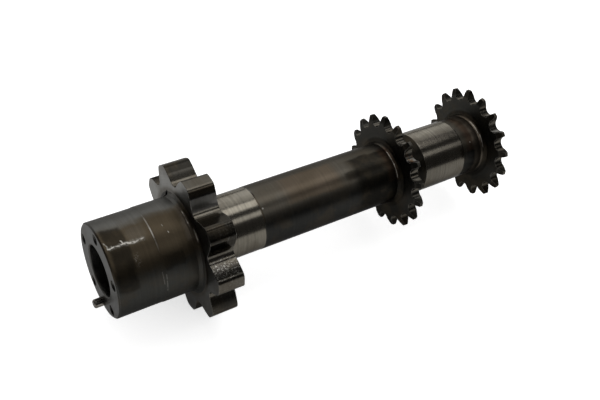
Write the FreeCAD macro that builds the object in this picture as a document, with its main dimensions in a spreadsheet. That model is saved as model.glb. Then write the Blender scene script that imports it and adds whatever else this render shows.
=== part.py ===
import FreeCAD, Part
import math
import os
import Sketcher

# Oil pump shaft. The axis runs along +X from the end face of the hub, +Z is up, and the shaft lies
# with one gap of the drive and one gap of each chain wheel straight down.

doc = FreeCAD.newDocument("oil_pump_shaft")
sheet = doc.addObject("Spreadsheet::Sheet", "sizes")

driving_sizes = {
    # hub, with its bored and tapped end face
    "hubDiameter": 42.0,
    "hubRimChamfer": 0.6,
    "noseLength": 20.0,
    "noseBevel": 1.4,
    "shoulderStep": 0.2,
    "boreDiameter": 23.0,
    "boreDepth": 30.0,
    "boreChamfer": 0.4,
    "drillPointAngle": 118.0,
    "tappedHoleCount": 5,
    "tappedHoleDiameter": 5.0,
    "tappedHoleDepth": 14.0,
    "tappedHoleCircle": 34.2,
    "tappedHoleAngle": 9.0,
    # dowel in the hub's end face
    "dowelDiameter": 4.0,
    "dowelProud": 4.4,
    "dowelSeat": 7.6,
    "dowelHoleSpare": 0.6,
    "dowelChamfer": 0.5,
    # drive with nine stub teeth
    "driveFront": 37.4,
    "driveWidth": 11.9,
    "driveTeeth": 9,
    "driveTipDiameter": 69.2,
    "driveRootDiameter": 54.2,
    "driveLandWidth": 6.2,
    "driveGulletRadius": 3.7,
    "driveFlankRadius": 30.0,
    "driveToothRound": 3.0,
    "driveCornerFillet": 2.1,
    "oilHoleDiameter": 1.9,
    "oilHoleDepth": 5.0,
    "oilHoleAngle": 43.0,
    # shank and journals
    "shankDiameter": 29.6,
    "frontJournalDiameter": 29.4,
    "frontJournalEnd": 71.0,
    "rearJournalDiameter": 29.9,
    "rearJournalLength": 24.2,
    "collarLength": 11.0,
    "journalEdge": 0.3,
    "backFillet": 1.2,
    # two equal chain wheels, cut together
    "chainPitch": 9.525,
    "rollerDiameter": 6.35,
    "rollerSeatRatio": 0.505,
    "wheelTeeth": 17,
    "wheelTipDiameter": 56.6,
    "wheelThickness": 4.4,
    "wheelTipLand": 1.5,
    "wheelTaperDepth": 3.4,
    "wheelToothLand": 2.0,
    "wheelFlankRadius": 9.0,
    "frontWheelCentre": 147.4,
    "wheelSpacing": 52.5,
    "wheelFillet": 2.1,
    # plain end behind the last wheel
    "endLength": 3.0,
    "endChamfer": 0.8,
    "centreHoleDiameter": 4.0,
    "centreHoleAngle": 60.0,
    # how far cutting tools run past the metal
    "toolRun": 1.0,
}
for row, (alias, size) in enumerate(driving_sizes.items(), start=1):
    sheet.set("A%d" % row, alias)
    sheet.set("B%d" % row, str(size))
    sheet.setAlias("B%d" % row, alias)
doc.recompute()


def new_body(label):
    body = doc.addObject("PartDesign::Body", label)
    body.Label = label
    return body


def origin_feature(body, role):
    return next(item for item in body.Origin.OriginFeatures if item.Role == role)


def new_sketch(body, name, plane, station=None):
    sketch = body.newObject("Sketcher::SketchObject", name)
    sketch.AttachmentSupport = (origin_feature(body, plane), [""])
    sketch.MapMode = "FlatFace"
    if station:
        sketch.setExpression("AttachmentOffset.Base.z", station)
    return sketch


def number(sketch, formula):
    return float(sketch.evalExpression(formula))


def bind(sketch, constraint, formula):
    index = sketch.addConstraint(constraint)
    sketch.setExpression("Constraints[%d]" % index, formula)


# A closed outline. Each corner is (across, up, bend): two formulas that place it, and the radius of the
# arc that leads from it to the next corner, or None for a straight edge. A positive bend turns left.
def draw_outline(sketch, corners):
    spots = [FreeCAD.Vector(number(sketch, x), number(sketch, y), 0) for x, y, _ in corners]
    for index, (x, y, bend) in enumerate(corners):
        start, finish = spots[index], spots[(index + 1) % len(corners)]
        if bend is None:
            sketch.addGeometry(Part.LineSegment(start, finish), False)
            continue
        radius = number(sketch, bend)
        chord = finish - start
        left = FreeCAD.Vector(-chord.y, chord.x, 0).normalize()
        rise = math.sqrt(max(radius ** 2 - (chord.Length / 2) ** 2, 0.0))
        centre = (start + finish) / 2 + left * math.copysign(rise, radius)
        first, last = (start, finish) if radius > 0 else (finish, start)
        circle = Part.Circle(centre, FreeCAD.Vector(0, 0, 1), abs(radius))
        sketch.addGeometry(Part.ArcOfCircle(circle, heading(centre, first), heading(centre, last)), False)
    ends = [end_points(sketch, index, spots[index]) for index in range(len(corners))]
    for index, (x, y, bend) in enumerate(corners):
        following = (index + 1) % len(corners)
        finish_point = 3 - ends[index]
        sketch.addConstraint(Sketcher.Constraint("Coincident", index, finish_point, following, ends[following]))
        place_point(sketch, index, ends[index], x, y)
        if bend is not None:
            bind(sketch, Sketcher.Constraint("Radius", index, abs(number(sketch, bend))), "abs(%s)" % bend)


def heading(centre, spot):
    return math.atan2(spot.y - centre.y, spot.x - centre.x)


# Which end of an edge, 1 or 2, lies at its first corner: an arc always runs counter-clockwise.
def end_points(sketch, index, spot):
    edge = sketch.Geometry[index]
    return 1 if edge.StartPoint.distanceToPoint(spot) < edge.EndPoint.distanceToPoint(spot) else 2


def place_point(sketch, geometry, point, x, y):
    for kind, formula in (("DistanceX", x), ("DistanceY", y)):
        if formula == "0":
            axis = -2 if kind == "DistanceX" else -1
            sketch.addConstraint(Sketcher.Constraint("PointOnObject", geometry, point, axis))
        else:
            here = number(sketch, formula)
            bind(sketch, Sketcher.Constraint(kind, -1, 1, geometry, point, here), formula)


def draw_circle(sketch, x, y, diameter):
    centre = FreeCAD.Vector(number(sketch, x), number(sketch, y), 0)
    sketch.addGeometry(Part.Circle(centre, FreeCAD.Vector(0, 0, 1), number(sketch, diameter) / 2), False)
    place_point(sketch, 0, 3, x, y)
    bind(sketch, Sketcher.Constraint("Diameter", 0, number(sketch, diameter)), diameter)


def revolve(body, name, kind, sketch):
    feature = body.newObject(kind, name)
    feature.Profile = sketch
    feature.ReferenceAxis = (sketch, ["H_Axis"])
    feature.Angle = 360.0
    return feature


# A cut that starts on its sketch's plane and runs along +X.
def cut_forward(body, name, sketch, depth):
    feature = body.newObject("PartDesign::Pocket", name)
    feature.Profile = sketch
    feature.Type = 0
    feature.Reversed = True
    feature.setExpression("Length", depth)
    return feature


def repeat_round_axis(body, name, feature, count):
    pattern = body.newObject("PartDesign::PolarPattern", name)
    pattern.Originals = [feature]
    pattern.Axis = (origin_feature(body, "X_Axis"), [""])
    pattern.Angle = 360.0
    pattern.setExpression("Occurrences", count)
    body.Tip = pattern
    return pattern


def edges_of(feature, wanted):
    return ["Edge%d" % (index + 1) for index, edge in enumerate(feature.Shape.Edges) if wanted(edge)]


# The shaft is turned from the bar in one outline, from the hub's end face to the plain end.
shaft = new_body("pump_shaft")
turned = new_sketch(shaft, "turned_outline", "XZ_Plane")

hub_radius = "sizes.hubDiameter / 2"
shoulder_radius = "(sizes.hubDiameter / 2 + sizes.shoulderStep)"
drive_tip = "sizes.driveTipDiameter / 2"
drive_back = "(sizes.driveFront + sizes.driveWidth)"
front_journal = "sizes.frontJournalDiameter / 2"
rear_journal = "sizes.rearJournalDiameter / 2"
shank = "sizes.shankDiameter / 2"
half_wheel = "sizes.wheelThickness / 2"
wheel_tip = "sizes.wheelTipDiameter / 2"
collar_end = "(sizes.frontWheelCentre + %s + sizes.collarLength)" % half_wheel
rear_journal_end = "(%s + sizes.rearJournalLength)" % collar_end
rear_wheel_centre = "(sizes.frontWheelCentre + sizes.wheelSpacing)"
shaft_end = "(%s + %s + sizes.endLength)" % (rear_wheel_centre, half_wheel)


# A corner between shaft and flange is turned in two tapers that touch a round of the given radius.
# The corner is (station, height, radius), and the flange stands on its side towards +X or -X.
def cove(station, height, radius, flange_after):
    part = "%s * (1 - sqrt(0.5))" % radius
    side = "-" if flange_after else "+"
    corners = [
        ("%s %s %s" % (station, side, radius), height, None),
        ("%s %s %s" % (station, side, part), "%s + %s" % (height, part), None),
        (station, "%s + %s" % (height, radius), None),
    ]
    return corners if flange_after else corners[::-1]


# One chain wheel's stretch of the outline: its teeth are thinned towards the tip by a taper on both
# sides, down to a narrow land, so that the chain's plates slip over them.
def wheel_corners(centre):
    front = "%s - %s" % (centre, half_wheel)
    back = "%s + %s" % (centre, half_wheel)
    flat_radius = "%s - sizes.wheelTaperDepth" % wheel_tip
    tooth_sides = [
        (front, flat_radius, None),
        ("%s - sizes.wheelTipLand / 2" % centre, wheel_tip, None),
        ("%s + sizes.wheelTipLand / 2" % centre, wheel_tip, None),
        (back, flat_radius, None),
    ]
    return (cove(front, shank, "sizes.wheelFillet", True) + tooth_sides
            + cove(back, shank, "sizes.backFillet", False))


hub_corners = [
    ("0", "0", None),
    ("0", "%s - sizes.hubRimChamfer" % hub_radius, None),
    ("sizes.hubRimChamfer", hub_radius, None),
    ("sizes.noseLength", hub_radius, None),
    ("sizes.noseLength + sizes.noseBevel", shoulder_radius, None),
]
drive_corners = cove("sizes.driveFront", shoulder_radius, "sizes.driveCornerFillet", True) + [
    ("sizes.driveFront", drive_tip, None),
    (drive_back, drive_tip, None),
] + cove(drive_back, front_journal, "sizes.backFillet", False) + [
    ("sizes.frontJournalEnd - sizes.journalEdge", front_journal, None),
    ("sizes.frontJournalEnd", shank, None),
]
rear_journal_corners = [
    (collar_end, shank, None),
    ("%s + sizes.journalEdge" % collar_end, rear_journal, None),
    ("%s - sizes.journalEdge" % rear_journal_end, rear_journal, None),
    (rear_journal_end, shank, None),
]
end_corners = [
    ("%s - sizes.endChamfer" % shaft_end, shank, None),
    (shaft_end, "%s - sizes.endChamfer" % shank, None),
    (shaft_end, "0", None),
]
draw_outline(turned, hub_corners + drive_corners + wheel_corners("sizes.frontWheelCentre")
             + rear_journal_corners + wheel_corners(rear_wheel_centre) + end_corners)
blank = revolve(shaft, "turned_blank", "PartDesign::Revolution", turned)

# A gap between two teeth, straight down: a round bottom that runs without a kink into two bowed flanks,
# which end at the corners of the teeth, land_width apart over a tooth.
def gap_corners(teeth, tip, land_width, root, bottom_radius, flank_radius, past_tip):
    corner_angle = "(180 deg / %s - asin(%s / (2 * %s)))" % (teeth, land_width, tip)
    tip_across = "%s * sin(%s)" % (tip, corner_angle)
    tip_up = "%s * cos(%s)" % (tip, corner_angle)
    bottom_centre = "(%s + %s)" % (root, bottom_radius)
    rise = "(%s - %s)" % (tip_up, bottom_centre)
    reach = "sqrt((%s) ^ 2 + %s ^ 2)" % (tip_across, rise)
    centres = "(%s + %s)" % (bottom_radius, flank_radius)
    to_corner = "acos(-1 * %s / %s)" % (rise, reach)
    to_flank = ("acos((%s ^ 2 + %s ^ 2 - %s ^ 2) / (2 * %s * %s))"
                % (reach, centres, flank_radius, reach, centres))
    bottom_angle = "(%s - %s)" % (to_corner, to_flank)
    root_across = "%s * sin(%s)" % (bottom_radius, bottom_angle)
    root_up = "%s - %s * cos(%s)" % (bottom_centre, bottom_radius, bottom_angle)
    return [
        ("-1 * (%s)" % root_across, "-1 * (%s)" % root_up, "-1 * %s" % bottom_radius),
        (root_across, "-1 * (%s)" % root_up, flank_radius),
        (tip_across, "-1 * (%s)" % tip_up, None),
        (tip_across, "-1 * (%s)" % past_tip, None),
        ("-1 * (%s)" % tip_across, "-1 * (%s)" % past_tip, None),
        ("-1 * (%s)" % tip_across, "-1 * (%s)" % tip_up, flank_radius),
    ]


# The drive's gaps, cut once across its width and repeated.
gullet = new_sketch(shaft, "drive_gullet_outline", "YZ_Plane", "sizes.driveFront - sizes.toolRun")
draw_outline(gullet, gap_corners("sizes.driveTeeth", "(%s)" % drive_tip, "sizes.driveLandWidth",
                                 "sizes.driveRootDiameter / 2", "sizes.driveGulletRadius",
                                 "sizes.driveFlankRadius", "%s + sizes.toolRun" % drive_tip))
drive_gullet = cut_forward(shaft, "drive_gullet", gullet, "sizes.driveWidth + 2 * sizes.toolRun")
drive_teeth = repeat_round_axis(shaft, "drive_teeth", drive_gullet, "sizes.driveTeeth")
doc.recompute()


# The corners where the flanks of the drive's teeth meet their lands, rounded along the whole tooth.
SAME_PLACE = 0.01


def is_tooth_corner(edge):
    off_tip = [abs(math.hypot(vertex.Y, vertex.Z) - sheet.driveTipDiameter / 2) for vertex in edge.Vertexes]
    return isinstance(edge.Curve, Part.Line) and max(off_tip) < SAME_PLACE


tooth_rounds = shaft.newObject("PartDesign::Fillet", "tooth_rounds")
tooth_rounds.Base = (drive_teeth, edges_of(drive_teeth, is_tooth_corner))
tooth_rounds.setExpression("Radius", "sizes.driveToothRound")
doc.recompute()

# The chain wheels' gaps, each the seat of a roller on the pitch circle, cut through both wheels at once.
seat = new_sketch(shaft, "wheel_gap_outline", "YZ_Plane",
                  "sizes.frontWheelCentre - %s - sizes.toolRun" % half_wheel)
pitch_radius = "(sizes.chainPitch / (2 * sin(180 deg / sizes.wheelTeeth)))"
seat_radius = "(sizes.rollerDiameter * sizes.rollerSeatRatio)"
draw_outline(seat, gap_corners("sizes.wheelTeeth", "(%s)" % wheel_tip, "sizes.wheelToothLand",
                               "(%s - %s)" % (pitch_radius, seat_radius), seat_radius,
                               "sizes.wheelFlankRadius", "%s + sizes.toolRun" % wheel_tip))
wheel_gap = cut_forward(shaft, "wheel_gap", seat,
                        "sizes.wheelSpacing + sizes.wheelThickness + 2 * sizes.toolRun")
wheel_teeth = repeat_round_axis(shaft, "wheel_teeth", wheel_gap, "sizes.wheelTeeth")

# The hub's bore, with its chamfered mouth and drill point, and the centre hole of the plain end.
bore_outline = new_sketch(shaft, "bore_outline", "XZ_Plane")
bore_radius = "sizes.boreDiameter / 2"
draw_outline(bore_outline, [
    ("0", "0", None),
    ("sizes.boreDepth + %s / tan(sizes.drillPointAngle * 0.5 deg)" % bore_radius, "0", None),
    ("sizes.boreDepth", bore_radius, None),
    ("sizes.boreChamfer", bore_radius, None),
    ("0", "%s + sizes.boreChamfer" % bore_radius, None),
])
bore = revolve(shaft, "bore", "PartDesign::Groove", bore_outline)

centre_outline = new_sketch(shaft, "centre_hole_outline", "XZ_Plane")
centre_radius = "sizes.centreHoleDiameter / 2"
draw_outline(centre_outline, [
    ("%s - %s / tan(sizes.centreHoleAngle * 0.5 deg)" % (shaft_end, centre_radius), "0", None),
    (shaft_end, "0", None),
    (shaft_end, centre_radius, None),
])
centre_hole = revolve(shaft, "centre_hole", "PartDesign::Groove", centre_outline)

# Tapped holes on their circle, and the dowel's hole in the gap opposite the first of them.
hole_circle = "sizes.tappedHoleCircle / 2"
first_hole = "(sizes.tappedHoleAngle * 1 deg)"
hole_sketch = new_sketch(shaft, "tapped_hole_outline", "YZ_Plane")
draw_circle(hole_sketch, "%s * sin(%s)" % (hole_circle, first_hole),
            "%s * cos(%s)" % (hole_circle, first_hole), "sizes.tappedHoleDiameter")
tapped_hole = cut_forward(shaft, "tapped_hole", hole_sketch, "sizes.tappedHoleDepth")
tapped_holes = repeat_round_axis(shaft, "tapped_holes", tapped_hole, "sizes.tappedHoleCount")

dowel_across = "-(%s) * sin(%s)" % (hole_circle, first_hole)
dowel_up = "-(%s) * cos(%s)" % (hole_circle, first_hole)
dowel_hole_sketch = new_sketch(shaft, "dowel_hole_outline", "YZ_Plane")
draw_circle(dowel_hole_sketch, dowel_across, dowel_up, "sizes.dowelDiameter")
dowel_hole = cut_forward(shaft, "dowel_hole", dowel_hole_sketch, "sizes.dowelSeat + sizes.dowelHoleSpare")

# A small oil hole in the corner between hub and drive.
oil_circle = "(%s + sizes.oilHoleDiameter / 2)" % shoulder_radius
oil_angle = "(sizes.oilHoleAngle * 1 deg)"
oil_sketch = new_sketch(shaft, "oil_hole_outline", "YZ_Plane", "sizes.driveFront - sizes.driveCornerFillet")
draw_circle(oil_sketch, "%s * sin(%s)" % (oil_circle, oil_angle),
            "%s * cos(%s)" % (oil_circle, oil_angle), "sizes.oilHoleDiameter")
oil_hole = cut_forward(shaft, "oil_hole", oil_sketch, "sizes.oilHoleDepth")
doc.recompute()


# The dowel is a plain ground pin, chamfered at its free end.
dowel = new_body("dowel_pin")
dowel_sketch = new_sketch(dowel, "dowel_outline", "YZ_Plane", "-sizes.dowelProud")
draw_circle(dowel_sketch, dowel_across, dowel_up, "sizes.dowelDiameter")
dowel_pad = dowel.newObject("PartDesign::Pad", "dowel_bar")
dowel_pad.Profile = dowel_sketch
dowel_pad.Type = 0
dowel_pad.setExpression("Length", "sizes.dowelProud + sizes.dowelSeat")
doc.recompute()


def is_free_rim(edge):
    return len(edge.Vertexes) == 1 and edge.Vertexes[0].X < 0


dowel_end = dowel.newObject("PartDesign::Chamfer", "dowel_end")
dowel_end.Base = (dowel_pad, edges_of(dowel_pad, is_free_rim))
dowel_end.setExpression("Size", "sizes.dowelChamfer")
doc.recompute()

for item in doc.Objects:
    if {"Invalid", "Error"} & set(item.State):
        raise RuntimeError("%s: %s" % (item.Name, item.State))

os.makedirs("parts", exist_ok=True)
for body in (shaft, dowel):
    if body.Shape.isNull() or not body.Shape.isValid() or len(body.Shape.Solids) != 1:
        raise RuntimeError("%s is not one valid solid" % body.Label)
for body in (shaft, dowel):
    body.Shape.exportStep("parts/%s.step" % body.Label)
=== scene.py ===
import math

import bpy
from mathutils import Euler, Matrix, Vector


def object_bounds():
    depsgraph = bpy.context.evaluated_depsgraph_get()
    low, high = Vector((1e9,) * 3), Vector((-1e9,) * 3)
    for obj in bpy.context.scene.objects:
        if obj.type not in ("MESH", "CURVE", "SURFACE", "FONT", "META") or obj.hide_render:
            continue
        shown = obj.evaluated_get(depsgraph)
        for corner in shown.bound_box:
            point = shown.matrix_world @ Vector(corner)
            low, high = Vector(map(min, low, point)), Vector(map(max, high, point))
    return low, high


# An engine's oil pump shaft, turned from one bar of steel and lying on its side. It has a bored and
# tapped hub, a drive of nine stub teeth, two ground journals and two wheels for roller chain.
# +X runs along the shaft from the hub's end face, +Z is up, and lengths are in metres.
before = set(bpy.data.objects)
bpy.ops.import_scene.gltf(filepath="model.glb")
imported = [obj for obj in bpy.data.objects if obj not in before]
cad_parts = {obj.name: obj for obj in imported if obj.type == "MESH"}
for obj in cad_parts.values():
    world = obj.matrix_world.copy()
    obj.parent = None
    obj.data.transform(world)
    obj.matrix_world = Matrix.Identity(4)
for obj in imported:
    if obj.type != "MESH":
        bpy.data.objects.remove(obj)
cad_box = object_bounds()


# The shaft is one bar of steel, turned between centres, hobbed for its teeth and ground on its journals.
# Hub, shank and wheels keep a dark skin of old oil, browned where it stood longest. The journals, the
# end face and the drive's sides are brighter.

def add_node(tree, kind, values=(), **settings):
    node = tree.nodes.new(kind)
    for name, value in settings.items():
        setattr(node, name, value)
    for socket, value in dict(values).items():
        if isinstance(value, bpy.types.NodeSocket):
            tree.links.new(value, node.inputs[socket])
        else:
            node.inputs[socket].default_value = value
    return node


def use_group(tree, group, values=()):
    return add_node(tree, "ShaderNodeGroup", values, node_tree=group).outputs


def reckon(tree, operation, *values):
    return add_node(tree, "ShaderNodeMath", enumerate(values), operation=operation).outputs[0]


def reckon_vector(tree, operation, first, second):
    return add_node(tree, "ShaderNodeVectorMath", {0: first, 1: second}, operation=operation).outputs


def spot(tree, first, second):
    return add_node(tree, "ShaderNodeCombineXYZ", {0: first, 1: second}).outputs[0]


def both(tree, *masks):
    product = masks[0]
    for mask in masks[1:]:
        product = reckon(tree, "MULTIPLY", product, mask)
    return product


def inverse(tree, mask):
    return reckon(tree, "SUBTRACT", 1.0, mask)


def ramp(tree, value, low, high):
    return add_node(tree, "ShaderNodeMapRange", {"Value": value, "From Min": low, "From Max": high},
                    interpolation_type="SMOOTHSTEP", clamp=True).outputs[0]


def between(tree, value, low, high, soft):
    return both(tree, ramp(tree, value, low - soft, low + soft),
                inverse(tree, ramp(tree, value, high - soft, high + soft)))


def blend(tree, amount, under, over):
    return add_node(tree, "ShaderNodeMix", {0: amount, 6: under, 7: over}, data_type="RGBA").outputs[2]


def blend_value(tree, amount, under, over):
    return add_node(tree, "ShaderNodeMix", {0: amount, 2: under, 3: over}).outputs[0]


def noise(tree, point, scale, detail=2.0, roughness=0.5):
    return add_node(tree, "ShaderNodeTexNoise", {"Vector": point, "Scale": scale, "Detail": detail,
                                                 "Roughness": roughness}).outputs[0]


def waver(tree, value, sway, reach):
    return reckon(tree, "MULTIPLY_ADD", reckon(tree, "SUBTRACT", sway, 0.5), 2.0 * reach, value)


def start_group(name, inputs, outputs):
    group = bpy.data.node_groups.new(name, "ShaderNodeTree")
    for direction, sockets in (("INPUT", inputs), ("OUTPUT", outputs)):
        for label in sockets:
            kind = "NodeSocketVector" if label in ("Point", "Normal") else "NodeSocketFloat"
            group.interface.new_socket(name=label, in_out=direction, socket_type=kind)
    return group, group.nodes.new("NodeGroupInput").outputs, group.nodes.new("NodeGroupOutput").inputs


def start_finish(name):
    finish = bpy.data.materials.new(name)
    finish.use_nodes = True
    finish.node_tree.nodes.clear()
    return finish, finish.node_tree


def shade(red, green, blue):
    return (red, green, blue, 1.0)


# Where a point lies on the shaft, in millimetres along it, out from its axis and round it from the top,
# and in degrees round it.
MM = 1000.0
place, given, result = start_group("place on the shaft", ["Point"], ["Along", "Out", "Round", "Turn"])
x, y, z = add_node(place, "ShaderNodeSeparateXYZ", {0: given["Point"]}).outputs
out = reckon(place, "SQRT", reckon(place, "ADD", both(place, y, y), both(place, z, z)))
turn = reckon(place, "ARCTAN2", y, z)
place.links.new(both(place, x, MM), result["Along"])
place.links.new(both(place, out, MM), result["Out"])
place.links.new(both(place, out, turn, MM), result["Round"])
place.links.new(both(place, turn, math.degrees(1.0)), result["Turn"])

# The lines that a tool leaves: rings round the shaft where it was turned or ground between centres, and
# circles about the axis where it was faced. Each sort wanders a little, and broad ones lie further apart.
BROAD_SPREAD = 0.17
LINE_SWAY = 0.5
SWAY_SCALE = 90.0
tool_lines, given, result = start_group("tool lines", ["Point", "Along", "Out", "Faced", "Per mm"],
                                        ["Fine", "Broad"])
run = blend_value(tool_lines, given["Faced"], given["Along"], 0.0)
run = reckon(tool_lines, "ADD", run, both(tool_lines, given["Out"], given["Faced"]))
sway = noise(tool_lines, given["Point"], SWAY_SCALE)
for label, spread, detail in (("Fine", 1.0, 3.0), ("Broad", BROAD_SPREAD, 2.0)):
    across = waver(tool_lines, both(tool_lines, run, given["Per mm"], spread), sway, LINE_SWAY)
    lines = add_node(tool_lines, "ShaderNodeTexNoise", {"W": across, "Scale": 1.0, "Detail": detail,
                                                        "Roughness": 0.65}, noise_dimensions="1D")
    tool_lines.links.new(lines.outputs[0], result[label])

# Old oil in patches, the clouding of a handled surface, and the bright specks of a hobbed one.
CLOUD_SCALE = 60.0
SPECK_SCALE = 1300.0
old_oil, given, result = start_group("old oil", ["Point", "Patches per m"], ["Stain", "Cloud", "Specks"])
patches = noise(old_oil, given["Point"], given["Patches per m"], 5.0, 0.6)
grains = noise(old_oil, given["Point"], SPECK_SCALE, 3.0, 0.7)
old_oil.links.new(ramp(old_oil, patches, 0.45, 0.62), result["Stain"])
old_oil.links.new(noise(old_oil, given["Point"], CLOUD_SCALE, 3.0), result["Cloud"])
old_oil.links.new(ramp(old_oil, grains, 0.52, 0.66), result["Specks"])

# Edges rubbed bright, with a painted highlight on them, and rounded as a file leaves them.
EDGE_RADIUS = 0.00045
rubbed_and_highlit_edges, given, result = start_group("rubbed and highlit edges", [], ["Edge", "Normal"])
rounded = add_node(rubbed_and_highlit_edges, "ShaderNodeBevel", {"Radius": EDGE_RADIUS}, samples=6).outputs[0]
straight = add_node(rubbed_and_highlit_edges, "ShaderNodeNewGeometry").outputs["Normal"]
lean = inverse(rubbed_and_highlit_edges, reckon_vector(rubbed_and_highlit_edges, "DOT_PRODUCT", rounded, straight)["Value"])
edge = ramp(rubbed_and_highlit_edges, lean, 0.01, 0.12)
rubbed_and_highlit_edges.links.new(edge, result["Edge"])
rubbed_and_highlit_edges.links.new(rounded, result["Normal"])

# A scratch from one spot to another, both in millimetres along and round the shaft. A point's distance is
# taken to the nearest spot on the line between them.
SHARP_CORE = 0.3
scratch, given, result = start_group("scratch", ["Along", "Round", "From along", "From round", "To along",
                                                 "To round", "Width", "Break"], ["Mark"])
here = spot(scratch, given["Along"], given["Round"])
start = spot(scratch, given["From along"], given["From round"])
end = spot(scratch, given["To along"], given["To round"])
way = reckon_vector(scratch, "SUBTRACT", here, start)["Vector"]
whole = reckon_vector(scratch, "SUBTRACT", end, start)["Vector"]
share = reckon(scratch, "DIVIDE", reckon_vector(scratch, "DOT_PRODUCT", way, whole)["Value"],
               reckon_vector(scratch, "DOT_PRODUCT", whole, whole)["Value"])
share = add_node(scratch, "ShaderNodeClamp", {"Value": share}).outputs[0]
nearest = add_node(scratch, "ShaderNodeVectorMath", {0: whole, "Scale": share}, operation="SCALE")
apart = reckon_vector(scratch, "DISTANCE", way, nearest.outputs["Vector"])["Value"]
faded = ramp(scratch, apart, both(scratch, given["Width"], SHARP_CORE), given["Width"])
scratch.links.new(both(scratch, inverse(scratch, faded), given["Break"]), result["Mark"])

# What every part of the shaft's finish starts from. Its sizes are in millimetres, along the shaft or out
# from the axis, and its turns in degrees from the top. Films and stains end in a ragged line, so they are
# placed by a way along and a turn that both wander.
FRAY_SCALE = 260.0
SWIRL_SCALE = 40.0
shaft_finish, tree = start_finish("turned and oiled steel")
where = add_node(tree, "ShaderNodeTexCoord").outputs
point = where["Object"]
along, out, arc, turn = use_group(tree, place, {"Point": point})
stain, cloud, specks = use_group(tree, old_oil, {"Point": point, "Patches per m": 85.0})
edge, rounded = use_group(tree, rubbed_and_highlit_edges)
slope = add_node(tree, "ShaderNodeSeparateXYZ", {0: where["Normal"]}).outputs[0]
faced = ramp(tree, reckon(tree, "ABSOLUTE", slope), 0.6, 0.9)
walls = inverse(tree, faced)
fine, broad = use_group(tree, tool_lines, {"Point": point, "Along": along, "Out": out, "Faced": faced,
                                           "Per mm": 5.0})
fray = noise(tree, point, FRAY_SCALE, 3.0)
swirl = noise(tree, point, SWIRL_SCALE, 2.0)
creep = waver(tree, waver(tree, along, fray, 1.0), swirl, 2.2)
creep_turn = waver(tree, waver(tree, turn, fray, 4.0), cloud, 8.0)

# The skin of hub and shank: grey on top, brown on the side that faces up and out, and darker low down with
# painted shade.
DARK_STEEL = shade(0.128, 0.126, 0.116)
SHANK_STEEL = shade(0.086, 0.078, 0.064)
BROWN_FILM_AND_SHADE = shade(0.071, 0.056, 0.037)
HUB_LOW_SHADE = shade(0.048, 0.048, 0.044)
SHANK_LOW_SHADE = shade(0.031, 0.031, 0.029)
HUB_ROUGH = 0.42
SHANK_ROUGH = 0.36
FRONT_JOURNAL_END = 71.0
GREY_TURN = (-1.0, 14.0)
LOW_SHADE_TURN = (-60.0, -46.0)
below_top = inverse(tree, ramp(tree, creep_turn, *GREY_TURN))
colour = blend(tree, below_top, DARK_STEEL, BROWN_FILM_AND_SHADE)
shank_part = ramp(tree, along, FRONT_JOURNAL_END, FRONT_JOURNAL_END + 1.0)
colour = blend(tree, shank_part, colour, SHANK_STEEL)
# Painted shade: the low side of hub and shank is darker.
low = inverse(tree, ramp(tree, creep_turn, *LOW_SHADE_TURN))
colour = blend(tree, low, colour, blend(tree, shank_part, HUB_LOW_SHADE, SHANK_LOW_SHADE))
rough = blend_value(tree, shank_part, HUB_ROUGH, SHANK_ROUGH)

# Where old oil has dried, and where light is painted: its reach along the shaft and round it, how soft its
# edge is along the shaft, how thick it lies, and its colour. A reach of more than half a turn each way
# goes all round.
WARM_TINT_AND_SHEEN = shade(0.110, 0.082, 0.056)
# A pale tan, painted as reflected light.
TAN_PAINTED_SHEEN = shade(0.170, 0.145, 0.115)
RED_FILM = shade(0.076, 0.043, 0.027)
BLACK_FILM_AND_SHADE = shade(0.012, 0.011, 0.009)
REAR_JOURNAL = (160.7, 184.7)
ALL_ROUND = (-190.0, 190.0)
TURN_SOFT = 3.0
FILMS_AND_PAINTED_LIGHT = (
    ((1.5, 10.0), (-70.0, 7.0), 0.8, 0.70, BLACK_FILM_AND_SHADE),
    ((11.0, 18.5), (-22.0, 0.0), 1.6, 0.15, DARK_STEEL),
    ((22.0, 31.0), (-59.0, -43.0), 0.4, 0.52, BLACK_FILM_AND_SHADE),
    # Painted reflection: a paler band in the corner before the drive.
    ((33.8, 36.6), (-36.0, 10.0), 1.0, 0.50, TAN_PAINTED_SHEEN),
    ((36.4, 38.0), (2.0, 190.0), 0.5, 0.50, BLACK_FILM_AND_SHADE),
    ((70.8, 71.3), ALL_ROUND, 0.15, 0.80, BLACK_FILM_AND_SHADE),
    # A warm brown tint with a painted pool of light on the shank.
    ((86.0, 113.0), (-40.0, 16.0), 3.0, 0.60, WARM_TINT_AND_SHEEN),
    ((116.0, 124.0), (-34.0, -19.0), 1.5, 0.70, BLACK_FILM_AND_SHADE),
    ((121.0, 146.0), (-190.0, 6.0), 3.0, 0.86, BLACK_FILM_AND_SHADE),
    ((124.0, 146.0), (0.0, 190.0), 7.0, 0.24, BLACK_FILM_AND_SHADE),
    ((148.0, REAR_JOURNAL[0]), ALL_ROUND, 0.5, 0.96, BLACK_FILM_AND_SHADE),
    ((REAR_JOURNAL[1], 206.0), ALL_ROUND, 0.5, 0.28, BLACK_FILM_AND_SHADE),
    ((138.5, 146.0), (-58.0, 12.0), 1.5, 0.45, RED_FILM),
    ((187.0, 198.0), (-56.0, 34.0), 2.0, 0.60, RED_FILM),
    # Painted reflection: a paler band in the stain before the rear wheel.
    ((191.0, 196.5), ALL_ROUND, 1.0, 0.65, TAN_PAINTED_SHEEN),
)
for reach, turns, soft, depth, tint in FILMS_AND_PAINTED_LIGHT:
    patch = both(tree, between(tree, creep, *reach, soft), between(tree, creep_turn, *turns, TURN_SOFT))
    colour = blend(tree, both(tree, patch, depth), colour, tint)

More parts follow.
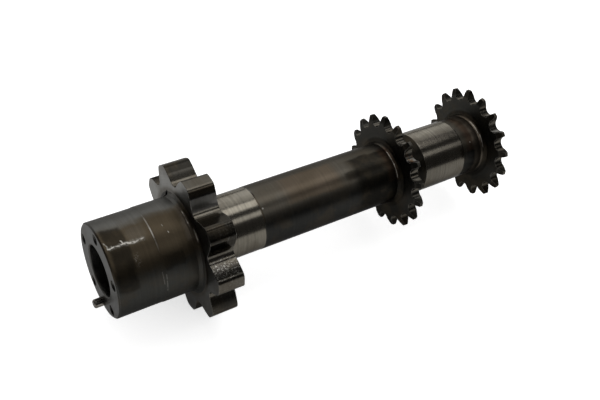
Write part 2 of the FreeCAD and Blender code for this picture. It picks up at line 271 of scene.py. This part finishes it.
# The journals, each a ground band round the shaft, paler on top with a painted highlight. Oil has run over
# the rear one's end.
GROUND_TOP_HIGHLIGHT = shade(0.250, 0.232, 0.195)
GROUND = shade(0.185, 0.170, 0.140)
REAR_GROUND = shade(0.142, 0.130, 0.108)
GROUND_ROUGH = 0.19
DRIVE_END = 49.3
GROUND_SOFT = 0.12
JOURNAL_OUT = (19.0, 18.0)
OVERRUN_START = (182.0, 183.2)
OVERRUN_TURN = (-64.0, -44.0)
front = between(tree, along, DRIVE_END, FRONT_JOURNAL_END, GROUND_SOFT)
rear = between(tree, along, *REAR_JOURNAL, GROUND_SOFT)
journals = both(tree, reckon(tree, "ADD", front, rear), ramp(tree, out, *JOURNAL_OUT))
# Painted highlight: the top of each journal is paler.
ground = blend(tree, below_top, GROUND_TOP_HIGHLIGHT, blend(tree, rear, GROUND, REAR_GROUND))
colour = blend(tree, journals, colour, ground)
rough = blend_value(tree, journals, rough, GROUND_ROUGH)
overrun = both(tree, journals, ramp(tree, creep, *OVERRUN_START),
               between(tree, creep_turn, *OVERRUN_TURN, TURN_SOFT))
colour = blend(tree, both(tree, overrun, 0.75), colour, BLACK_FILM_AND_SHADE)


# How many degrees a turn lies past the nearest of some places evenly spaced round the shaft.
def past_nearest(tree, turn, first, step):
    wrapped = reckon(tree, "FLOORED_MODULO", reckon(tree, "SUBTRACT", turn, first - step / 2), step)
    return reckon(tree, "SUBTRACT", wrapped, step / 2)


# The chain wheels, cut by a hob and never polished. Every flange is darker at the bottom with painted
# shade. The roller seats are worn pale in streaks, two gaps carry painted glints on a flank and the seat,
# the tooth tips carry a painted highlight that is stronger on the rear wheel, and one gap has rusted.
WHEEL = shade(0.040, 0.039, 0.035)
SEAT_WEAR_AND_TIP_SHEEN = shade(0.130, 0.118, 0.098)
PALE_GLINT = shade(0.300, 0.292, 0.272)
RUST = shade(0.110, 0.068, 0.040)
WHEEL_ROUGH = 0.40
SEAT_ROUGH = 0.24
WHEEL_CENTRES = (147.4, 199.9)
WHEEL_HALF = 2.2
WHEEL_TIP = 28.3
SHANK_OUT = 15.0
BOTTOM_TURN = (85.0, 125.0)
GAP_TURN = -36.0
GAP_STEP = 360.0 / 17
GLINT_GAPS_TURN = (-50.0, -2.0)
GLINT_FLANK = (-7.5, -2.5)
GLINT_SEAT = (-2.5, 1.2)
RUSTED_TURN = (GAP_TURN - 8.0, GAP_TURN + 8.0)
RUSTED_END = (152.0, 150.0)
BETWEEN_WHEELS = (170.0, 172.0)
bottom = ramp(tree, reckon(tree, "ABSOLUTE", creep_turn), *BOTTOM_TURN)
# Painted shade: the bottom of every flange is darker.
shaded_bottom = blend(tree, both(tree, bottom, 0.6), WHEEL, BLACK_FILM_AND_SHADE)
thinned = ramp(tree, waver(tree, out, fray, 0.5), WHEEL_TIP - 3.6, WHEEL_TIP - 2.2)
wheel_skin = blend(tree, both(tree, thinned, 0.75), shaded_bottom, BLACK_FILM_AND_SHADE)
seats = both(tree, walls, ramp(tree, out, WHEEL_TIP - 2.8, WHEEL_TIP - 4.2))
streaks = ramp(tree, noise(tree, spot(tree, arc, out), 0.75, 3.0, 0.6), 0.42, 0.62)
wheel_skin = blend(tree, both(tree, seats, streaks), wheel_skin, SEAT_WEAR_AND_TIP_SHEEN)
# Painted glints: pale bands on the lower flank and the seat of the gaps near the top.
in_gap = past_nearest(tree, turn, GAP_TURN, GAP_STEP)
painted_glints = reckon(tree, "ADD", both(tree, between(tree, in_gap, *GLINT_FLANK, 1.0), 0.24),
                  both(tree, seats, between(tree, in_gap, *GLINT_SEAT, 0.8), 0.52))
painted_glints = both(tree, walls, between(tree, turn, *GLINT_GAPS_TURN, 5.0), painted_glints)
wheel_skin = blend(tree, painted_glints, wheel_skin, PALE_GLINT)
# Painted highlight on the tooth tips, stronger on the rear wheel.
tips = both(tree, walls, ramp(tree, out, WHEEL_TIP - 0.5, WHEEL_TIP - 0.1))
tip_highlight = blend_value(tree, ramp(tree, along, *BETWEEN_WHEELS), 0.30, 0.85)
wheel_skin = blend(tree, both(tree, tips, tip_highlight), wheel_skin, SEAT_WEAR_AND_TIP_SHEEN)
rusted = both(tree, seats, between(tree, turn, *RUSTED_TURN, 3.0), ramp(tree, fray, 0.46, 0.60),
              ramp(tree, along, *RUSTED_END))
wheel_skin = blend(tree, rusted, wheel_skin, RUST)

# Black dirt fills the corners at the foot of each wheel. It and the corner of hub and drive are concave,
# so no rubbed edge shows there.
HUB_END = 37.4
HUB_CORNER_OUT = (20.9, 21.3)
corners = both(tree, between(tree, along, HUB_END - 2.4, HUB_END + 0.1, 0.1),
               ramp(tree, out, *HUB_CORNER_OUT))
for centre in WHEEL_CENTRES:
    corner = both(tree, between(tree, along, centre - WHEEL_HALF - 2.3, centre + WHEEL_HALF + 1.4, 0.3),
                  ramp(tree, out, SHANK_OUT - 0.1, SHANK_OUT + 0.3),
                  ramp(tree, out, SHANK_OUT + 3.6, SHANK_OUT + 2.8))
    corners = reckon(tree, "MAXIMUM", corners, corner)
    colour = blend(tree, both(tree, corner, 0.85), colour, BLACK_FILM_AND_SHADE)
    wheel = both(tree, between(tree, along, centre - WHEEL_HALF - 0.1, centre + WHEEL_HALF + 0.1, 0.05),
                 ramp(tree, out, SHANK_OUT + 1.6, SHANK_OUT + 3.0))
    colour = blend(tree, wheel, colour, wheel_skin)
    rough = blend_value(tree, wheel, rough, blend_value(tree, seats, WHEEL_ROUGH, SEAT_ROUGH))

# The drive: bright sides with painted shade low down and on the side towards the camera, browned near the
# hub, dark flanks and champagne lands.
DRIVE_SIDE = shade(0.350, 0.347, 0.330)
FLANK = shade(0.045, 0.042, 0.036)
LAND = shade(0.108, 0.099, 0.082)
SIDE_ROUGH = 0.34
FLANK_ROUGH = 0.20
LAND_ROUGH = 0.30
DRIVE_TIP = 34.6
DRIVE_OUT = (22.6, 23.4)
SHADED_TURN = (4.0, -34.0)
HUB_STAIN_OUT = (26.5, 24.0)
GAP_BOTTOM_OUT = (30.0, 27.8)
drive = both(tree, between(tree, along, HUB_END - 0.05, DRIVE_END + 0.05, 0.03),
             ramp(tree, out, *DRIVE_OUT))
sides = both(tree, drive, faced)
# Painted shade on the drive's sides, low down and on the side towards the camera.
shaded = reckon(tree, "MAXIMUM", both(tree, bottom, 0.62),
                both(tree, ramp(tree, creep_turn, *SHADED_TURN), 0.55))
colour = blend(tree, sides, colour, blend(tree, shaded, DRIVE_SIDE, BLACK_FILM_AND_SHADE))
hub_stain = ramp(tree, waver(tree, out, cloud, 1.5), *HUB_STAIN_OUT)
colour = blend(tree, both(tree, sides, hub_stain, 0.6), colour, BROWN_FILM_AND_SHADE)
rough = blend_value(tree, sides, rough, SIDE_ROUGH)
flanks = both(tree, drive, walls)
colour = blend(tree, flanks, colour, blend(tree, ramp(tree, out, *GAP_BOTTOM_OUT), FLANK, LAND))
rough = blend_value(tree, flanks, rough, FLANK_ROUGH)
lands = both(tree, flanks, ramp(tree, out, DRIVE_TIP - 0.35, DRIVE_TIP - 0.05))
colour = blend(tree, lands, colour, LAND)
rough = blend_value(tree, lands, rough, LAND_ROUGH)

# Teeth of the drive that have worn apart from the rest, and on the top tooth a painted shadow near the tip
# above a painted
# reflection lower down: how far round and out from the axis each mark goes, how strong it is, its colour
# and its roughness. One flank lower down is speckled bright.
BRIGHT = shade(0.600, 0.580, 0.530)
PALE_ROUGH = 0.42
DARK_ROUGH = 0.24
DRIVE_WEAR_AND_PAINTED_LIGHT = (
    ((26.0, 38.0), (31.4, 34.3), 0.75, BLACK_FILM_AND_SHADE, DARK_ROUGH),
    # Painted reflection: the top tooth's flank is paler lower down.
    ((-17.0, -2.0), (26.8, 31.6), 0.80, PALE_GLINT, PALE_ROUGH),
    # Painted shadow: the top tooth's flank is darker near its tip.
    ((-17.0, -2.0), (32.4, 34.3), 0.55, BROWN_FILM_AND_SHADE, DARK_ROUGH),
    ((-47.5, -32.5), (34.2, 35.5), 0.92, BLACK_FILM_AND_SHADE, DARK_ROUGH),
)
SPECKLED_TURN = (-74.0, -61.0)
for turns, reach, depth, tint, roughness in DRIVE_WEAR_AND_PAINTED_LIGHT:
    drive_mark = both(tree, flanks, between(tree, turn, *turns, 1.0), between(tree, out, *reach, 0.35), depth)
    colour = blend(tree, drive_mark, colour, tint)
    rough = blend_value(tree, drive_mark, rough, roughness)
speckle_depth = blend_value(tree, between(tree, turn, *SPECKLED_TURN, 2.0), 0.10, 0.55)
speckled = both(tree, flanks, specks, ramp(tree, cloud, 0.42, 0.58), speckle_depth)
colour = blend(tree, speckled, colour, BRIGHT)

# The hub's end face and bore, and a painted highlight on the polished bevel behind the nose: how far round
# each highlight goes, how soft its ends are and how bright it is.
FACED = shade(0.185, 0.185, 0.177)
BORED = shade(0.120, 0.118, 0.110)
FACED_ROUGH = 0.32
BORED_ROUGH = 0.38
BORE_OUT = (12.2, 11.8)
BEVEL = (20.5, 20.95)
NOSE_OUT = (20.5, 20.8)
BEVEL_HIGHLIGHTS = (
    ((-34.0, 8.0), 9.0, 0.32),
    ((-23.0, -9.0), 5.0, 0.50),
)
hub_face = both(tree, ramp(tree, along, 0.3, 0.05), faced)
colour = blend(tree, hub_face, colour, FACED)
rough = blend_value(tree, hub_face, rough, FACED_ROUGH)
bored = both(tree, ramp(tree, out, *BORE_OUT), ramp(tree, along, HUB_END, HUB_END - 2.0))
colour = blend(tree, bored, colour, BORED)
rough = blend_value(tree, bored, rough, BORED_ROUGH)
# Painted highlight on the bevel.
bevel_highlight = both(tree, between(tree, along, *BEVEL, 0.20), ramp(tree, out, *NOSE_OUT))
highlight_depth = reckon(tree, "ADD", *[both(tree, between(tree, turn, *turns, soft), depth)
                                  for turns, soft, depth in BEVEL_HIGHLIGHTS])
colour = blend(tree, both(tree, bevel_highlight, highlight_depth, ramp(tree, fray, 0.25, 0.5)), colour, BRIGHT)

# Corners between shaft and flange, with painted highlights in short arcs: where along, how far round, how
# bright.
FILLET_HIGHLIGHT = shade(0.950, 0.900, 0.800)
FILLET_HIGHLIGHT_ROUGH = 0.60
ARC_HALF = 0.14
FILLET_HIGHLIGHTS = (
    (36.1, (-23.0, -3.0), 1.0),
    (37.0, (-42.0, -29.0), 0.8),
    (143.2, (-28.0, -2.0), 0.40),
    (143.3, (-54.0, -28.0), 0.9),
    (196.2, (-26.0, 2.0), 0.55),
    (196.6, (-56.0, -30.0), 0.8),
)
for station, turns, depth in FILLET_HIGHLIGHTS:
    # Painted highlight along the corner's fillet.
    fillet_highlight = both(tree, between(tree, along, station - ARC_HALF, station + ARC_HALF, ARC_HALF),
                    between(tree, creep_turn, *turns, TURN_SOFT), ramp(tree, fray, 0.3, 0.5), depth)
    colour = blend(tree, fillet_highlight, colour, FILLET_HIGHLIGHT)
    rough = blend_value(tree, fillet_highlight, rough, FILLET_HIGHLIGHT_ROUGH)

# Two spots knocked bright, one behind the front journal and one in the stain before the rear wheel: where
# each lies along the shaft and round it.
KNOCKS = ((72.2, -29.0), (189.7, -39.4))
KNOCK_HALF = 0.3
KNOCK_TURN = 1.2
for station, middle in KNOCKS:
    knock = both(tree, between(tree, along, station - KNOCK_HALF, station + KNOCK_HALF, 0.15),
                 between(tree, turn, middle - KNOCK_TURN, middle + KNOCK_TURN, 0.6))
    colour = blend(tree, both(tree, knock, 0.7), colour, BRIGHT)


# How far a point lies from a hole's axis, both measured across the shaft: outwards, sideways and in all.
def from_hole(tree, out, turn, circle):
    angle = reckon(tree, "RADIANS", turn)
    outwards = reckon(tree, "SUBTRACT", both(tree, out, reckon(tree, "COSINE", angle)), circle)
    sideways = both(tree, out, reckon(tree, "SINE", angle))
    squares = reckon(tree, "ADD", both(tree, outwards, outwards), both(tree, sideways, sideways))
    return outwards, sideways, reckon(tree, "SQRT", squares)


# The small oil hole in the corner of hub and drive has a black, wet rim.
OIL_HOLE_OUT = 22.15
OIL_HOLE_TURN = 43.0
WET_RIM = (1.7, 1.3)
distance = from_hole(tree, out, reckon(tree, "SUBTRACT", turn, OIL_HOLE_TURN), OIL_HOLE_OUT)[2]
wet = both(tree, ramp(tree, waver(tree, distance, fray, 0.3), *WET_RIM),
           between(tree, along, HUB_END - 2.3, HUB_END + 0.3, 0.2))
colour = blend(tree, wet, colour, BLACK_FILM_AND_SHADE)

# The five tapped holes: a coarse thread winds down each wall, as deep as the tap went.
HOLE_CIRCLE = 17.1
HOLE_TURN = 9.0
HOLE_STEP = 360.0 / 5
HOLE_WALL = (2.75, 2.6)
TAPPED = (0.4, 12.5)
HALF_PITCH = 0.5
in_hole = past_nearest(tree, turn, HOLE_TURN, HOLE_STEP)
outwards, sideways, distance = from_hole(tree, out, in_hole, HOLE_CIRCLE)
wind = reckon(tree, "DIVIDE", reckon(tree, "ARCTAN2", sideways, outwards), 2.0 * math.pi)
groove = reckon(tree, "PINGPONG", reckon(tree, "SUBTRACT", along, wind), HALF_PITCH)
tapped = both(tree, ramp(tree, distance, *HOLE_WALL), between(tree, along, *TAPPED, 0.3), walls)
colour = blend(tree, tapped, colour, BORED)
thread = both(tree, tapped, groove)

# Scratches on the hub: one long and ragged, one across it, one forked, and nicks. Each goes from one spot
# to another, in millimetres along and round, and has a width and a depth. Lower down are two faint
# straight streaks and a smudge.
SCRATCHES = (
    ((1.3, -3.6), (2.3, -7.3), 0.30, 0.40),
    ((2.1, -6.7), (4.4, -6.3), 0.55, 0.95),
    ((4.4, -6.3), (9.7, -6.7), 0.46, 0.75),
    ((9.7, -6.7), (12.8, -7.2), 0.50, 0.85),
    ((12.8, -7.2), (16.9, -6.7), 0.42, 0.60),
    ((7.7, -4.7), (8.6, -6.6), 0.38, 0.80),
    ((2.6, -6.6), (9.7, -6.7), 1.30, 0.15),
    ((9.7, -6.9), (16.4, -6.8), 1.40, 0.12),
    ((3.5, -5.4), (3.6, -5.5), 0.34, 0.5),
    ((25.7, -4.2), (25.9, -4.7), 0.36, 0.7),
    ((26.9, -7.5), (27.1, -7.8), 0.28, 0.5),
)
STREAKS = (
    ((19.6, -22.8), (19.9, -28.6), 0.30, 0.13),
    ((21.1, -24.5), (21.0, -33.0), 0.30, 0.14),
)
SMUDGE = (10.6, 12.9)
SMUDGE_TURN = (-46.0, -33.0)
SCORED_ROUGH = 0.45
HUB_SKIN_OUT = (20.4, 20.7)
CRUMB_SCALE = 900.0
crumbled = ramp(tree, noise(tree, point, CRUMB_SCALE, 3.0), 0.29, 0.53)
on_hub = both(tree, ramp(tree, out, *HUB_SKIN_OUT), ramp(tree, along, HUB_END, HUB_END - 0.5))
ragged = waver(tree, waver(tree, arc, noise(tree, point, 420.0, 2.0), 0.9), fray, 0.8)
ragged_along = waver(tree, along, noise(tree, point, 500.0, 1.0), 0.6)
scored = both(tree, between(tree, creep, *SMUDGE, 0.8), between(tree, creep_turn, *SMUDGE_TURN, 4.0),
              specks, 0.30)
for spot_along, spot_round, marks in ((ragged_along, ragged, SCRATCHES), (along, arc, STREAKS)):
    for (from_along, from_round), (to_along, to_round), width, depth in marks:
        mark = use_group(tree, scratch, {
            "Along": spot_along, "Round": spot_round, "From along": from_along, "From round": from_round,
            "To along": to_along, "To round": to_round, "Width": width,
            "Break": both(tree, crumbled, depth),
        })[0]
        scored = reckon(tree, "MAXIMUM", scored, mark)
scored = both(tree, scored, on_hub)
colour = blend(tree, scored, colour, BRIGHT)
rough = blend_value(tree, scored, rough, SCORED_ROUGH)

# Tool lines, clouding, thin old oil and rubbed edges with a painted highlight over everything. The lines
# show most on the journals.
MEAN_RINGS = 0.65
rings = reckon(tree, "ADD", both(tree, fine, 0.7), both(tree, broad, 0.6))
ring_depth = reckon(tree, "MULTIPLY_ADD", journals, 0.7, 0.5)
ringed = reckon(tree, "MULTIPLY_ADD", reckon(tree, "SUBTRACT", rings, MEAN_RINGS), ring_depth, 1.0)
tone = both(tree, ringed, reckon(tree, "MULTIPLY_ADD", cloud, 0.5, 0.75))
colour = add_node(tree, "ShaderNodeHueSaturation", {"Color": colour, "Value": tone}).outputs[0]
colour = blend(tree, both(tree, stain, 0.3, inverse(tree, scored)), colour, BROWN_FILM_AND_SHADE)
edge = both(tree, edge, inverse(tree, corners))
# Rubbed edges with a painted highlight, stronger on the drive.
colour = blend(tree, both(tree, edge, cloud, blend_value(tree, drive, 0.3, 0.6)), colour, BRIGHT)
rough = reckon(tree, "ADD", rough, reckon(tree, "MULTIPLY_ADD", fine, 0.10, -0.05))
line_height = both(tree, blend_value(tree, journals, both(tree, fine, 0.35), 1.0), fine)


# A relief whose height runs from 0 to 1: how deep it is, in metres, and how strongly it shows.
def relief(tree, height, normal, depth, strength):
    return add_node(tree, "ShaderNodeBump", {"Strength": strength, "Distance": depth, "Height": height,
                                             "Normal": normal}).outputs[0]


# A finish ends in bare metal, and goes on one node of the model.
def put_on(node, finish, colour, rough, normal):
    skin = add_node(finish.node_tree, "ShaderNodeBsdfPrincipled", {
        "Base Color": colour, "Roughness": rough, "Metallic": 1.0,
        "Specular Tint": shade(0.5, 0.5, 0.5), "Normal": normal,
    })
    add_node(finish.node_tree, "ShaderNodeOutputMaterial", {"Surface": skin.outputs[0]})
    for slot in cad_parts[node].material_slots:
        slot.material = finish


THREAD_DEPTH = 0.0009
LINE_DEPTH = 0.00004
cut = relief(tree, thread, rounded, THREAD_DEPTH, 1.0)
put_on("pump_shaft", shaft_finish, colour, rough, relief(tree, line_height, cut, LINE_DEPTH, 0.22))


# The dowel is a hardened and ground pin of steel, pressed into the hub's end face to time the wheel that
# is bolted there. It is paler than the hub, with a little old oil and a bright rim, rubbed and with a
# painted highlight.
DOWEL_STEEL = shade(0.30, 0.28, 0.25)
DOWEL_LINE_DEPTH = 0.00003
dowel_finish, tree = start_finish("ground dowel steel")
point = add_node(tree, "ShaderNodeTexCoord").outputs["Object"]
along, out = use_group(tree, place, {"Point": point})[:2]
fine = use_group(tree, tool_lines, {"Point": point, "Along": along, "Out": out, "Faced": 0.0,
                                    "Per mm": 9.0})["Fine"]
stain = use_group(tree, old_oil, {"Point": point, "Patches per m": 300.0})["Stain"]
edge, rounded = use_group(tree, rubbed_and_highlit_edges)
colour = blend(tree, both(tree, stain, 0.6), DOWEL_STEEL, BROWN_FILM_AND_SHADE)
# The dowel's rim, rubbed bright with a painted highlight.
colour = blend(tree, both(tree, edge, 0.4), colour, BRIGHT)
rough = reckon(tree, "MULTIPLY_ADD", fine, 0.12, 0.10)
put_on("dowel_pin", dowel_finish, colour, rough, relief(tree, fine, rounded, DOWEL_LINE_DEPTH, 0.15))


# The shaft lies on a plain white table in a dim room, under three soft lights whose long sides run along
# it: one behind it, one overhead and a weak one on the camera's side. The camera sees table and room
# white, and the metal mirrors both much darker.
TABLE_SIZE = 8.0
TABLE_HEIGHT = cad_box[0][2] - 0.0003
TABLE_GLOW = 0.6
MIRRORED_GLOW = 0.12
bpy.ops.mesh.primitive_plane_add(size=TABLE_SIZE, location=(0.0, 0.0, TABLE_HEIGHT))
table = bpy.context.object
table.name = "table"
paper, tree = start_finish("white table")
ray = add_node(tree, "ShaderNodeLightPath").outputs
mirrored = reckon(tree, "MAXIMUM", ray["Is Glossy Ray"], ray["Is Transmission Ray"])
seen = reckon(tree, "MAXIMUM", ray["Is Camera Ray"], both(tree, mirrored, MIRRORED_GLOW))
paint = blend(tree, mirrored, shade(0.8, 0.8, 0.8), shade(0.66, 0.66, 0.66))
matt = add_node(tree, "ShaderNodeBsdfDiffuse", {"Color": paint})
glow = add_node(tree, "ShaderNodeEmission", {"Strength": both(tree, seen, TABLE_GLOW)})
shine = add_node(tree, "ShaderNodeAddShader", {0: matt.outputs[0], 1: glow.outputs[0]})
add_node(tree, "ShaderNodeOutputMaterial", {"Surface": shine.outputs[0]})
table.data.materials.append(paper)

ROOM_SEEN = 1.0
ROOM_MIRRORED = 0.056
ROOM_LIGHT = 0.64
room = bpy.data.worlds.new("room")
bpy.context.scene.world = room
room.use_nodes = True
tree = room.node_tree
tree.nodes.clear()
ray = add_node(tree, "ShaderNodeLightPath").outputs
dim = blend_value(tree, ray["Is Diffuse Ray"], ROOM_MIRRORED, ROOM_LIGHT)
sky = add_node(tree, "ShaderNodeBackground", {
    "Color": shade(1.0, 1.0, 1.0), "Strength": blend_value(tree, ray["Is Camera Ray"], dim, ROOM_SEEN),
})
add_node(tree, "ShaderNodeOutputWorld", {"Surface": sky.outputs[0]})


LIGHT_DISTANCE = 1.1


# A lamp that hangs over the shaft, leant from straight above it, away from the camera if positive.
def soft_light(name, lean, along_shaft, length, width, strength):
    lamp = bpy.data.lights.new(name, "AREA")
    lamp.shape = "RECTANGLE"
    lamp.size = length
    lamp.size_y = width
    lamp.energy = strength * math.pi * length * width
    holder = bpy.data.objects.new(name, lamp)
    lean = math.radians(lean)
    holder.location = (along_shaft, LIGHT_DISTANCE * math.sin(lean), LIGHT_DISTANCE * math.cos(lean))
    holder.rotation_euler = (-lean, 0.0, 0.0)
    bpy.context.collection.objects.link(holder)


soft_light("back light", lean=55.0, along_shaft=0.62, length=1.6, width=1.20, strength=0.94)
soft_light("overhead light", lean=9.0, along_shaft=0.42, length=0.95, width=0.47, strength=2.0)
soft_light("front light", lean=-31.0, along_shaft=0.45, length=1.10, width=0.29, strength=1.3)

# The camera stands before the hub's end, to one side and above it, at the photograph's angle.
CAMERA_PLACE = (-0.07082, -0.20948, 0.27411)
CAMERA_TURN = (44.004, -7.315, -31.276)
CAMERA_LENS = 49.67
camera = bpy.data.objects.new("camera", bpy.data.cameras.new("camera"))
camera.data.lens = CAMERA_LENS
camera.data.clip_start = 0.01
camera.location = CAMERA_PLACE
camera.rotation_euler = Euler([math.radians(angle) for angle in CAMERA_TURN])
bpy.context.collection.objects.link(camera)
bpy.context.scene.camera = camera
bpy.context.scene.view_settings.view_transform = "Standard"
